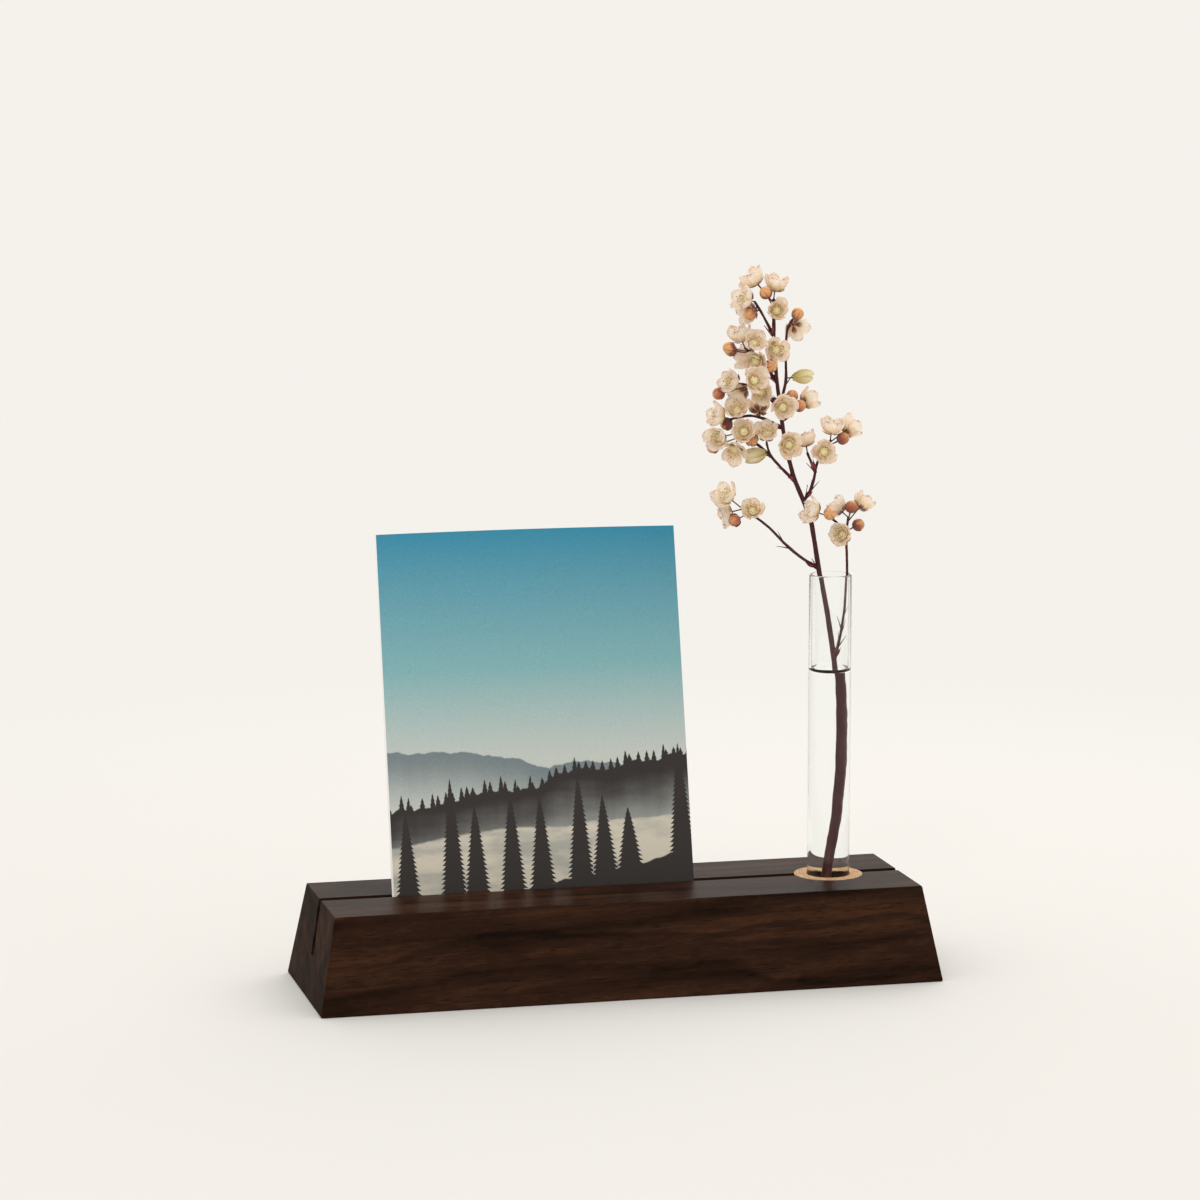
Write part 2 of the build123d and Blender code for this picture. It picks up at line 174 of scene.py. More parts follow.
class StageSettings(bpy.types.PropertyGroup):
    """Floor, light and camera."""

    backdrop: colour("Backdrop", "Colour of the background", (0.913, 0.885, 0.84))
    floor: colour("Floor", "Colour of the floor", (0.675, 0.658, 0.629))
    ambient: amount("Ambient", "Light from all round", 1.3)
    light_above: colour("Light above", "Colour of the light from above", (1.0, 0.99, 0.97))
    light_beside: colour("Light beside", "Colour of the light from the sides", (0.66, 0.65, 0.635))
    lamp_tint: colour("Lamp tint", "Colour of both lamps", (1.0, 0.985, 0.95))
    key_power: amount("Key power", "Power of the large lamp", 6.0, unit="POWER")
    key_place: position("Key place", "Where the large lamp hangs", (0.55, 0.75, 1.15))
    key_width: length("Key width", "Width of the large lamp", 1.3)
    spark_power: amount("Spark power", "Power of the small lamp", 1.6, unit="POWER")
    spark_place: position("Spark place", "Where the small lamp hangs", (-0.5, -1.0, 1.1))
    spark_width: length("Spark width", "Width of the small lamp", 0.22)
    target: position("Target", "Where the camera looks", (-0.0066, -0.0053, 0.1424))
    azimuth: angle("Azimuth", "Camera's turn round the block", math.radians(-13.81))
    elevation: angle("Elevation", "Camera's height over the block", math.radians(8.52))
    distance: length("Distance", "From the camera to its target", 1.5)
    focal: amount("Focal length", "Camera lens in millimetres", 123.45, unit="CAMERA")


class PhotoBlockSettings(bpy.types.PropertyGroup):
    """All that can be changed."""

    wood: PointerProperty(type=WoodSettings, name="Wood", description="Walnut and oak")
    tube: PointerProperty(type=TubeSettings, name="Tube", description="Glass and water")
    print: PointerProperty(type=PrintSettings, name="Print", description="The print's picture")
    sprig: PointerProperty(type=SprigSettings, name="Sprig", description="Stems and flowers")
    stage: PointerProperty(type=StageSettings, name="Stage", description="Floor, light and camera")


def operator(operation, reflected=False):
    """A Python operator of wires that adds a Math node."""

    def act(wire, other):
        pair = (other, wire) if reflected else (wire, other)
        return wire.graph.maths(operation, *pair)

    return act


class Wire:
    """An output socket of a node tree. Arithmetic on wires adds Math nodes."""

    def __init__(self, graph, socket):
        self.graph = graph
        self.socket = socket

    def other(self, name):
        """Another output of the same node."""
        return Wire(self.graph, self.socket.node.outputs[name])

    def __neg__(self):
        return 0.0 - self

    __add__, __radd__ = operator("ADD"), operator("ADD", True)
    __sub__, __rsub__ = operator("SUBTRACT"), operator("SUBTRACT", True)
    __mul__, __rmul__ = operator("MULTIPLY"), operator("MULTIPLY", True)
    __truediv__, __rtruediv__ = operator("DIVIDE"), operator("DIVIDE", True)
    __pow__, __rpow__ = operator("POWER"), operator("POWER", True)
    __lt__, __gt__ = operator("LESS_THAN"), operator("GREATER_THAN")


class Graph:
    """A node tree that is filled node by node."""

    def __init__(self, tree):
        self.tree = tree
        tree.nodes.clear()

    def node(self, kind, settings=None, inputs=None, output=0):
        """Adds one node with its settings and sockets, and returns one of its outputs, if it has any."""
        made = self.tree.nodes.new(kind)
        for name, value in (settings or {}).items():
            if name == "stops":
                self.set_stops(made.color_ramp, value)
            else:
                setattr(made, name, value)
        for name, value in (inputs or {}).items():
            if isinstance(value, Wire):
                self.tree.links.new(value.socket, made.inputs[name])
            else:
                made.inputs[name].default_value = value
        return Wire(self, made.outputs[output]) if len(made.outputs) else None

    @staticmethod
    def set_stops(ramp, stops):
        """Gives a ramp its stops, each a position and a colour."""
        while len(ramp.elements) > 1:
            ramp.elements.remove(ramp.elements[-1])
        ramp.elements[0].position, ramp.elements[0].color = stops[0]
        for at, tone in stops[1:]:
            ramp.elements.new(at).color = tone

    def maths(self, operation, first, second=0.0):
        """A Math node on one value or two."""
        return self.node("ShaderNodeMath", {"operation": operation}, {0: first, 1: second})

    def larger(self, first, second):
        """The larger of two values."""
        return self.maths("MAXIMUM", first, second)

    def distance(self, x, y):
        """How far a place is from an axis."""
        return self.maths("SQRT", x * x + y * y)

    def split(self, vector):
        """The three numbers of a vector."""
        first = self.node("ShaderNodeSeparateXYZ", None, {0: vector})
        return [first.other(axis) for axis in "XYZ"]

    def join(self, x, y, z):
        """A vector from three numbers."""
        return self.node("ShaderNodeCombineXYZ", None, {0: x, 1: y, 2: z})

    def clouds(self, vector, scale=None, detail=2.0, roughness=0.5, distortion=0.0):
        """Noise from 0 to 1 on a vector, which may be scaled along each axis."""
        if scale:
            vector = self.node("ShaderNodeVectorMath", {"operation": "MULTIPLY"}, {0: vector, 1: scale})
        kind = {"Scale": 1.0, "Detail": detail, "Roughness": roughness, "Distortion": distortion}
        return self.node("ShaderNodeTexNoise", None, {"Vector": vector, **kind})

    def step(self, value, low, high):
        """A smooth step from 0 at low to 1 at high."""
        limits = {"Value": value, "From Min": low, "From Max": high, "To Min": 0.0, "To Max": 1.0}
        return self.node("ShaderNodeMapRange", {"interpolation_type": "SMOOTHSTEP"}, limits)

    def mixed(self, factor, first, second, how="MIX"):
        """One colour mixed into another, by the node's colour sockets."""
        inputs = {0: factor, 6: first, 7: second}
        return self.node("ShaderNodeMix", {"data_type": "RGBA", "blend_type": how}, inputs, 2)

    def ramp(self, value, *stops):
        """A colour that follows a value through stops."""
        stops = [(at, tuple(tone)) for at, tone in stops]
        return self.node("ShaderNodeValToRGB", {"stops": stops}, {0: value})

    def blended(self, factor, first, second):
        """One shader mixed into another."""
        return self.node("ShaderNodeMixShader", None, {0: factor, 1: first, 2: second})


class Finish(Graph):
    """A material."""

    def __init__(self, name):
        self.material = bpy.data.materials.new(name)
        self.material.use_nodes = True
        super().__init__(self.material.node_tree)

    def place(self, origin=None, turn=(0.0, 0.0, 0.0)):
        """Object coordinates, or a place measured from another origin and turned."""
        spot = self.node("ShaderNodeTexCoord", output="Object")
        if origin is None:
            return spot
        moves = {"Vector": spot, "Location": origin, "Rotation": turn}
        return self.node("ShaderNodeMapping", {"vector_type": "TEXTURE"}, moves)

    def facing(self):
        """The three numbers of the way that a face looks."""
        return self.split(self.node("ShaderNodeTexCoord", output="Normal"))

    def leaf_place(self):
        """How far across and along a leaf, from its UV map."""
        return self.split(self.node("ShaderNodeUVMap", {"uv_map": "UVMap"}))[:2]

    def tint(self):
        """The chance tint of a flower."""
        return self.node("ShaderNodeAttribute", {"attribute_name": "tint"}, output="Fac")

    def bump(self, height, strength, distance):
        """A normal from a height."""
        values = {"Height": height, "Strength": strength, "Distance": distance}
        return self.node("ShaderNodeBump", None, values)

    def coloured(self, kind, tone):
        """A plain shader of one colour."""
        return self.node(kind, None, {"Color": tone})

    def surface(self, **sockets):
        """The Principled shader, with sockets named in lower case."""
        inputs = {}
        for name, value in sockets.items():
            inputs[name.replace("_", " ").title().replace("Ior", "IOR")] = value
        return self.node("ShaderNodeBsdfPrincipled", None, inputs)

    def done(self, shader):
        """Ends the material in a shader."""
        self.node("ShaderNodeOutputMaterial", None, {"Surface": shader})
        return self.material

    def painted(self, **sockets):
        """Ends the material in the Principled shader."""
        return self.done(self.surface(**sockets))


# Where the pith of the walnut lies from the block's origin, and how its grain slopes along the block.
WALNUT_PITH = (0.02, 0.05, -0.075)
WALNUT_SLOPE = (0.0, -0.035, 0.03)
# Where the pith of the oak lies from the middle of the bush's top.
OAK_PITH = Vector((-0.006, 0.02, 0.0))


def walnut(wood):
    """Dark oiled walnut, with growth rings along the block, fibres, open pores and dull end grain."""
    finish = Finish("walnut")
    place = finish.place(WALNUT_PITH, WALNUT_SLOPE)
    _, y, z = finish.split(place)
    sway = finish.clouds(place, (7.0, 26.0, 26.0), 3.0, 0.55)
    broad = finish.clouds(place, (6.0, 60.0, 60.0), 2.0, 0.5, 0.6)
    streaks = finish.clouds(place, (7.0, 210.0, 210.0), 4.0, 0.6, 0.5)
    fibres = finish.clouds(place, (40.0, 1500.0, 1500.0), 3.0, 0.6)
    ribbon = finish.clouds(place, (90.0, 330.0, 330.0), 3.0, 0.6, 1.6)
    pores = finish.clouds(place, (150.0, 2600.0, 2600.0), 1.0, 0.4)
    rings = finish.maths("FRACT", (finish.distance(y, z) + (sway - 0.5) * 0.024) / wood.walnut_ring)
    late = rings**3.0 * finish.step(rings, 1.0, 0.82)
    open_pores = finish.step(pores, 0.64, 0.72)
    tone = streaks * 0.52 + broad * 1.05 + ribbon * 0.36 + fibres * 0.24 - late * 0.34 - 0.56
    wooden = finish.ramp(tone, (0.22, wood.walnut_dark), (0.5, wood.walnut_mid), (0.8, wood.walnut_light))
    endwise = finish.facing()[0]
    end_grain = finish.step(endwise * endwise, 0.4, 0.7)
    darkened = finish.larger(open_pores * 0.7, end_grain * 0.3)
    return finish.painted(
        base_color=finish.mixed(darkened, wooden, wood.walnut_dark),
        specular_ior_level=wood.walnut_sheen,
        specular_tint=wood.walnut_sheen_tint,
        roughness=fibres * 0.16 + end_grain * 0.3 + (wood.walnut_roughness - 0.08),
        normal=finish.bump(fibres * 0.4 - open_pores, 0.35, 0.12 * MM),
    )


def oak(wood):
    """Pale oak cut across the grain, with rays, rings and pores, and painted shade in the bore below its
    lip.
    """
    finish = Finish("oak")
    low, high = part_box("oak_bush")
    top = Vector(((low.x + high.x) / 2, (low.y + high.y) / 2, high.z))
    place = finish.place(top + OAK_PITH)
    x, y, z = finish.split(place)
    away = finish.distance(x, y)
    around = finish.maths("ARCTAN2", y, x)
    wobble = finish.clouds(place, (220.0, 220.0, 30.0), 3.0)
    pores = finish.clouds(place, (1500.0, 1500.0, 120.0))
    rays = finish.clouds(finish.join(around * 60.0, away * 150.0, z * 30.0))
    rings = finish.maths("SINE", (away + wobble * 0.0011) * (math.tau / wood.oak_ring)) * 0.5 + 0.5
    open_pores = finish.step(pores + rings * 0.12, 0.5, 0.64)
    fleck = finish.step(rays, 0.5, 0.62)
    wooden = finish.ramp(rings * 0.4 + wobble * 0.45, (0.0, wood.oak_dark), (0.55, wood.oak_light))
    flecked = finish.mixed(fleck * 0.6, wooden, wood.oak_fleck)
    pored = finish.mixed(open_pores * 0.75, flecked, wood.oak_dark)
    # Painted shade: below its lip the bore takes the dark bore colour, for the shade down in it.
    painted_shade_below_lip = finish.step(-z, wood.oak_lip, 2 * wood.oak_lip)
    return finish.painted(
        base_color=finish.mixed(painted_shade_below_lip, pored, wood.oak_bore),
        roughness=0.62 - fleck * 0.12,
        specular_ior_level=0.3,
        normal=finish.bump(-open_pores, 0.3, 0.1 * MM),
    )


def clear(name, tint, bending, shine, fading=0.0):
    """A clear glass or liquid that lets light through to what is in it; its outline may fade."""
    finish = Finish(name)
    shader = finish.surface(
        base_color=tint,
        roughness=0.0,
        ior=bending,
        transmission_weight=1.0,
        specular_tint=(shine, shine, shine, 1.0),
    )
    open_way = finish.coloured("ShaderNodeBsdfTransparent", tint)
    way = finish.node("ShaderNodeLightPath", output="Is Shadow Ray")
    if fading:
        aslant = finish.node("ShaderNodeLayerWeight", None, {"Blend": 0.5}, "Facing")
        way = finish.larger(way, finish.step(aslant, 0.6, 0.95) * fading)
    return finish.done(finish.blended(way, shader, open_way))


def unseen(name):
    """A face inside clear matter, where nothing bends."""
    finish = Finish(name)
    return finish.done(finish.coloured("ShaderNodeBsdfTransparent", (1.0, 1.0, 1.0, 1.0)))


def picture(settings):
    """A satin print: sky over hazy ridges, with conifers on the near one; the back is plain paper."""
    finish = Finish("print_picture")
    low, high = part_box("photo_print")
    place = finish.place(low, (-settings.lean, 0.0, 0.0))
    across, _, along = finish.split(place)
    u = across / (high.x - low.x)
    v = along / ((high.z - low.z) / math.cos(settings.lean))
    black, white = (0.0, 0.0, 0.0, 1.0), (1.0, 1.0, 1.0, 1.0)

    def skyline(offset, scale, base, rise, rough):
        """The height of a ridge along the print."""
        waves = finish.clouds(finish.join(u * scale + offset, offset, 0.0), None, 5.0, 0.55)
        return u * rise + base + (waves - 0.5) * rough

    def trees(offset, scale, tallest):
        """How far pointed conifers stand above a ridge."""
        cells = {"W": u * scale + offset, "Scale": 1.0, "Randomness": 0.9}
        row = finish.node("ShaderNodeTexVoronoi", {"voronoi_dimensions": "1D"}, cells)
        height = finish.split(row.other("Color"))[0]
        teeth = finish.maths("FRACT", v * 90.0 + height * 5.0)
        crown = finish.larger(0.0, 1.0 - (row * (teeth * 1.1 + 2.3)) ** 1.25)
        return crown * (height * 0.6 + 0.4) * tallest

    def below(line, blur=0.002):
        """1 below a line across the print, with a soft edge."""
        return finish.step(line - v, -blur, blur)

    mist = finish.clouds(finish.join(u * 3.0, v * 14.0, 2.0), None, 4.0, 0.55)
    far = skyline(3.0, 2.2, 0.47, -0.08, 0.18)
    rise = skyline(8.0, 2.6, 0.32, 0.12, 0.2)
    middle = rise + trees(1.0, 40.0, 0.035)
    meadow = skyline(15.0, 1.6, 0.24, 0.06, 0.1)
    near = skyline(21.0, 1.7, 0.1, 0.08, 0.14) + trees(5.0, 9.0, 0.3)
    haze = finish.step(rise - v + (mist - 0.5) * 0.08, 0.02, 0.18) * 0.6
    far_hill = finish.mixed(finish.step(far - v, 0.0, 0.16), settings.ridge_far, settings.sky_low)
    middle_hill = finish.mixed(haze, settings.ridge_near, settings.sky_low)
    ground = finish.mixed(finish.step(mist, 0.42, 0.62) * 0.5, settings.meadow, settings.ridge_far)
    hazy, clearer, deep = settings.sky_low, settings.sky_middle, settings.sky_top
    view = finish.ramp(v, (0.3, hazy), (0.44, hazy), (0.66, clearer), (1.0, deep))
    view = finish.mixed(below(far), view, far_hill)
    view = finish.mixed(below(middle), view, middle_hill)
    view = finish.mixed(below(meadow, 0.004), view, ground)
    view = finish.mixed(below(near), view, settings.ridge_near)
    grain = finish.clouds(place, (1400.0, 1400.0, 2100.0))
    grainy = finish.mixed(0.1, view, finish.ramp(grain, (0.3, black), (0.7, white)), "SOFT_LIGHT")
    front = (finish.facing()[1] < -0.5) * (across > settings.margin)
    fine = finish.clouds(place, (900.0, 900.0, 900.0))
    return finish.painted(
        base_color=finish.mixed(front, settings.paper, grainy),
        roughness=fine * 0.12 + 0.38,
        specular_ior_level=0.25,
        normal=finish.bump(fine, 0.05, 0.1 * MM),
    )


def bark(sprig):
    """Thin purple-brown bark, worn lighter in places, with small pale spots."""
    finish = Finish("stem_bark")
    place = finish.place()
    worn = finish.clouds(place, (420.0, 420.0, 130.0), 4.0, 0.6)
    ridges = finish.clouds(place, (2600.0, 2600.0, 420.0), 3.0, 0.6)
    spots = finish.step(finish.clouds(place, (1500.0, 1500.0, 1100.0), 1.0), 0.66, 0.74)
    base = finish.mixed(finish.step(worn, 0.5, 0.75) * 0.55 + ridges * 0.15, sprig.bark, sprig.bark_light)
    return finish.painted(
        base_color=finish.mixed(spots * 0.5, base, sprig.bark_light),
        roughness=0.62 - worn * 0.2,
        specular_ior_level=0.2,
        normal=finish.bump(ridges + spots * 0.5, 0.5, 0.08 * MM),
    )


def petal_finish(name, base, main, tip, blush, thin):
    """Thin petals: veined, tinted from stalk to tip, with light coming through."""
    finish = Finish(name)
    across, along = finish.leaf_place()
    tint = finish.tint()
    veins = finish.clouds(finish.join(across * 17.0, along * 1.6, tint * 9.0))
    patches = finish.clouds(finish.place(), (420.0, 420.0, 420.0))
    toned = finish.ramp(along + (tint - 0.5) * 0.3, (0.05, base), (0.4, main), (0.9, tip))
    veined = finish.mixed(finish.step(veins, 0.52, 0.75) * 0.18, toned, blush)
    edge = finish.step(finish.larger(finish.larger(across, 1.0 - across), along), 0.93, 1.0)
    flush = edge * 0.3 + finish.step(patches, 0.45, 0.75) * 0.3
    front = finish.surface(
        base_color=finish.mixed(flush, veined, blush),
        roughness=0.55,
        specular_ior_level=0.2,
        normal=finish.bump(veins, 0.25, 0.15 * MM),
    )
    foot, end, pink = (finish.coloured("ShaderNodeBsdfTranslucent", tone) for tone in (base, tip, blush))
    pale = finish.blended(finish.step(along, 0.0, 0.8), foot, end)
    return finish.done(finish.blended(thin, front, finish.blended(flush, pale, pink)))


def tinted(name, low, high, start, end, roughness):
    """A small piece coloured from its foot to its end, a little uneven."""
    finish = Finish(name)
    along = finish.leaf_place()[1]
    uneven = finish.clouds(finish.place(), (900.0, 900.0, 900.0), 3.0)
    toned = finish.mixed(finish.step(along + (uneven - 0.5) * 0.25, start, end), low, high)
    return finish.painted(
        base_color=finish.mixed(uneven * 0.25, toned, low),
        roughness=uneven * 0.2 + roughness - 0.1,
        normal=finish.bump(uneven, 0.2, 0.1 * MM),
    )


def bud_skin(sprig):
    """Glossy folded petals of a closed bud: red-brown, lighter at the tip, dark along the seams."""
    finish = Finish("bud_scales")
    across, along = finish.leaf_place()
    uneven = finish.clouds(finish.place(), (900.0, 900.0, 900.0), 3.0)
    wave = finish.maths("SINE", (across - 0.5) * (BUD_SEAMS * math.pi) + along * BUD_TWIST)
    seam = finish.step(wave * wave, 0.09, 0.0) * 0.75
    ripe = finish.step(along + (uneven - 0.5) * 0.35 + (finish.tint() - 0.5) * 0.7, 0.25, 0.9)
    toned = finish.mixed(ripe, sprig.bud_base, sprig.bud)
    return finish.painted(
        base_color=finish.mixed(seam + uneven * 0.2, toned, sprig.bud_base),
        roughness=uneven * 0.2 + 0.14,
        normal=finish.bump(uneven, 0.2, 0.1 * MM),
    )


def add_object(name, data):
    """Links a new object with its data to the scene."""
    made = bpy.data.objects.new(name, data)
    bpy.context.scene.collection.objects.link(made)
    return made


def smooth_object(name, bm):
    """A smooth object from bmesh data."""
    mesh = bpy.data.meshes.new(name)
    bm.to_mesh(mesh)
    bm.free()
    mesh.polygons.foreach_set("use_smooth", [True] * len(mesh.polygons))
    return add_object(name, mesh)


def settle(piece, body, slot, *replaced):
    """Gives a piece its place in the frame."""
    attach(piece, body)
    if replaced:
        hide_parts(*replaced)


def dress(node, material):
    """Gives a CAD node a better material."""
    slots = NODES[node].data.materials
    if len(slots):
        slots[0] = material
    else:
        slots.append(material)


def merged(*nodes):
    """A merged copy of CAD nodes."""
    bm = bmesh.new()
    for node in nodes:
        bm.from_mesh(NODES[node].data)
    bmesh.ops.remove_doubles(bm, verts=bm.verts, dist=MERGING)
    return bm


def named(*starts):
    """The CAD nodes whose names start so."""
    return sorted(node for node in NODES if node.startswith(starts))


def turned(name, profile, middle):
    """A closed shape turned on a lathe from points of radius and height."""
    bm = bmesh.new()
    verts = [bm.verts.new((middle.x + radius, middle.y, height)) for radius, height in profile]
    edges = [bm.edges.new(pair) for pair in zip(verts, verts[1:])]
    centre = (middle.x, middle.y, 0.0)
    bmesh.ops.spin(
        bm, geom=verts + edges, cent=centre, axis=(0.0, 0.0, 1.0), angle=math.tau, steps=LATHE_STEPS
    )
    bmesh.ops.remove_doubles(bm, verts=bm.verts, dist=FINE_MERGING)
    bmesh.ops.dissolve_degenerate(bm, edges=bm.edges, dist=0.1 * FINE_MERGING)
    bmesh.ops.recalc_face_normals(bm, faces=bm.faces)
    return smooth_object(name, bm)


def arc(out, height, radius, start, end, steps=ARC_STEPS):
    """Points of a lathe's profile on an arc about one point, in degrees from straight down."""
    turns = [math.radians(start + (end - start) * step / steps) for step in range(steps + 1)]
    return [(out + radius * math.sin(turn), height - radius * math.cos(turn)) for turn in turns]


class Rod:
    """The middle line and thickness of a CAD rod, read where planes across it cut its edges."""

    FULLNESS = 1.25  # of the stem, beside the CAD rod
    TWIG_FULLNESS = 1.08
    SWELLING = 0.35  # of a twig where it leaves its parent
    SWELLING_RUN = 1.3 * MM  # along which that dies away
    ROOTING = 1.6  # how deep a twig starts in its parent, in radii
    TIP_TURNS = (20, 50, 75)  # degrees, of the rings that round its tip
    TIP_ROUNDING = 0.2  # how far those stand past the CAD rod, in radii
    SMOOTHING = 8  # rounds of easing the middle line
    FEWEST_CUTS = 4

    def __init__(self, node, step):
        self.joined = node != "main_stem"
        bm = merged(node)
        foot = min((vert.co for vert in bm.verts), key=lambda place: place.z)
        tip = max((vert.co for vert in bm.verts), key=lambda place: (place - foot).length)
        chord = (tip - foot).normalized()
        heights = {vert: vert.co.dot(chord) for vert in bm.verts}
        least, most = min(heights.values()), max(heights.values())
        count = max(math.ceil((most - least) / step), self.FEWEST_CUTS)
        levels = [least + (most - least) * (number + 0.5) / count for number in range(count)]
        self.tail = most - levels[-1]
        cuts = [[] for _ in levels]
        for edge in bm.edges:
            low, high = sorted(edge.verts, key=heights.get)
            for cut, level in zip(cuts, levels):
                if heights[low] < level < heights[high]:
                    part = (level - heights[low]) / (heights[high] - heights[low])
                    cut.append(low.co.lerp(high.co, part))
        bm.free()
        sideways = chord.orthogonal().normalized()
        axes = (sideways, chord.cross(sideways))
        self.middles = []
        for cut, level in zip(cuts, levels):
            spans = [[point.dot(axis) for point in cut] for axis in axes]
            offsets = [axis * (min(span) + max(span)) / 2 for axis, span in zip(axes, spans)]
            self.middles.append(chord * level + offsets[0] + offsets[1])
        for _ in range(self.SMOOTHING):
            inner = zip(self.middles, self.middles[1:], self.middles[2:])
            eased = [(before + middle * 2 + after) / 4 for before, middle, after in inner]
            self.middles = [self.middles[0], *eased, self.middles[-1]]
        pairs = zip([self.middles[0], *self.middles], [*self.middles[1:], self.middles[-1]])
        self.aheads = [(after - before).normalized() for before, after in pairs]
        self.radii = []
        for cut, middle, ahead in zip(cuts, self.middles, self.aheads):
            offsets = [point - middle for point in cut]
            aside = [(offset - ahead * offset.dot(ahead)).length for offset in offsets]
            self.radii.append(sum(aside) / len(cut))

    def at(self, along):
        """Middle, direction and radius at a share of the length."""
        number = round(along * (len(self.middles) - 1))
        return self.middles[number], self.aheads[number], self.radii[number]

    def sections(self):
        """Middle, direction and radius of each ring, with a foot in the parent and a rounded tip."""
        start, ahead, radius = self.at(0.0)
        fullness, swelling = self.FULLNESS, 0.0
        if self.joined:
            fullness, swelling = self.TWIG_FULLNESS, self.SWELLING
            yield start - ahead * radius * self.ROOTING, ahead, radius * (1 + swelling)
        for middle, direction, thick in zip(self.middles, self.aheads, self.radii):
            run = (middle - start).length
            yield middle, direction, thick * (fullness + swelling * math.exp(-run / self.SWELLING_RUN))
        end, ahead, radius = self.at(1.0)
        for turn in map(math.radians, self.TIP_TURNS):
            reach = (self.tail + self.TIP_ROUNDING * radius) * math.sin(turn)
            yield end + ahead * reach, ahead, radius * math.cos(turn)


def heads_of(kind, twigs):
    """The foot, axis and reach of each flower head of one kind, read from the loose solids."""
    touching = 0.05 * MM
    bm = merged(*named(kind))
    seen = set()
    heads = []
    for start in bm.verts:
        if start in seen:
            continue
        seen.add(start)
        island = [start]
        for vert in island:
            for edge in vert.link_edges:
                other = edge.other_vert(vert)
                if other not in seen:
                    seen.add(other)
                    island.append(other)
        faces = dict.fromkeys(face for vert in island for face in vert.link_faces)
        area = sum(face.calc_area() for face in faces)
        centre = sum((face.calc_center_median() * face.calc_area() for face in faces), Vector()) / area
        gaps = [twigs.find_nearest(vert.co)[3] for vert in island]
        limit = min(gaps) + touching
        feet = [vert.co for vert, gap in zip(island, gaps) if gap <= limit]
        root = sum(feet, Vector()) / len(feet)
        axis = (centre - root).normalized()
        heads.append((root, axis, max((vert.co - root).dot(axis) for vert in island)))
    bm.free()
    return heads


# The inputs of the whorl's node tree, and what a ring and a spot have that say nothing else.
WHORL_INPUTS = {
    "Geometry": "Geometry", "Part": "Object", "Count": "Int", "Turn": "Float", "Lean": "Float",
    "Size": "Float", "Seed": "Int", "Material": "Material",
}
USUAL_RING = {"Count": 1, "Turn": 0.0, "Lean": 0.0, "Size": 0.0, "Seed": 0}
USUAL_SPOT = {"size": 1.0, "stretch": 1.0, "spin": 0.0, "tint": 0.5, "open": 0.0}


def whorl_tree():
    """Geometry Nodes: copies of a part set in a ring round each point, along its axis."""
    tree = bpy.data.node_groups.new("Whorl", "GeometryNodeTree")
    graph = Graph(tree)
    for name, kind in WHORL_INPUTS.items():
        tree.interface.new_socket(name, in_out="INPUT", socket_type=f"NodeSocket{kind}")
    tree.interface.new_socket("Geometry", in_out="OUTPUT", socket_type="NodeSocketGeometry")
    entry = graph.node("NodeGroupInput")
    given = {name: entry.other(name) for name in WHORL_INPUTS}

    def stored(name, kind="FLOAT"):
        """An attribute of the points."""
        return graph.node("GeometryNodeInputNamedAttribute", {"data_type": kind}, {"Name": name})

    def chance(spread, offset):
        """A random value either side of nought, from the node's sockets for least, most and seed."""
        values = {2: -spread, 3: spread, 8: given["Seed"] + offset}
        return graph.node("FunctionNodeRandomValue", {"data_type": "FLOAT"}, values, 1)

    def rotated(rotation, x, y, z):
        """A rotation turned further about its own axes."""
        turn = graph.node("FunctionNodeEulerToRotation", None, {0: graph.join(x, y, z)})
        both = {"Rotation": rotation, "Rotate By": turn}
        return graph.node("FunctionNodeRotateRotation", {"rotation_space": "LOCAL"}, both)

    points = {"Geometry": given["Geometry"], "Amount": given["Count"]}
    copies = graph.node("GeometryNodeDuplicateElements", {"domain": "POINT"}, points)
    number = copies.other("Duplicate Index")
    axis = stored("axis", "FLOAT_VECTOR")
    upright = graph.node("FunctionNodeAlignRotationToVector", {"axis": "Z"}, {"Vector": axis})
    around = number / given["Count"] * math.tau + stored("spin") + chance(given["Turn"], 1)
    lean = chance(given["Lean"], 2) + stored("open")
    size = stored("size") * (1.0 + chance(given["Size"], 3))
    part = {
        "Points": copies,
        "Instance": graph.node("GeometryNodeObjectInfo", None, {"Object": given["Part"]}, "Geometry"),
        "Rotation": rotated(rotated(upright, 0.0, 0.0, around), 0.0, lean, 0.0),
        "Scale": graph.join(size, size, size * stored("stretch")),
    }
    ring = graph.node("GeometryNodeInstanceOnPoints", None, part)
    real = graph.node("GeometryNodeRealizeInstances", None, {"Geometry": ring})
    painted = graph.node("GeometryNodeSetMaterial", None, {"Geometry": real, "Material": given["Material"]})
    graph.node("NodeGroupOutput", None, {"Geometry": painted})
    return tree


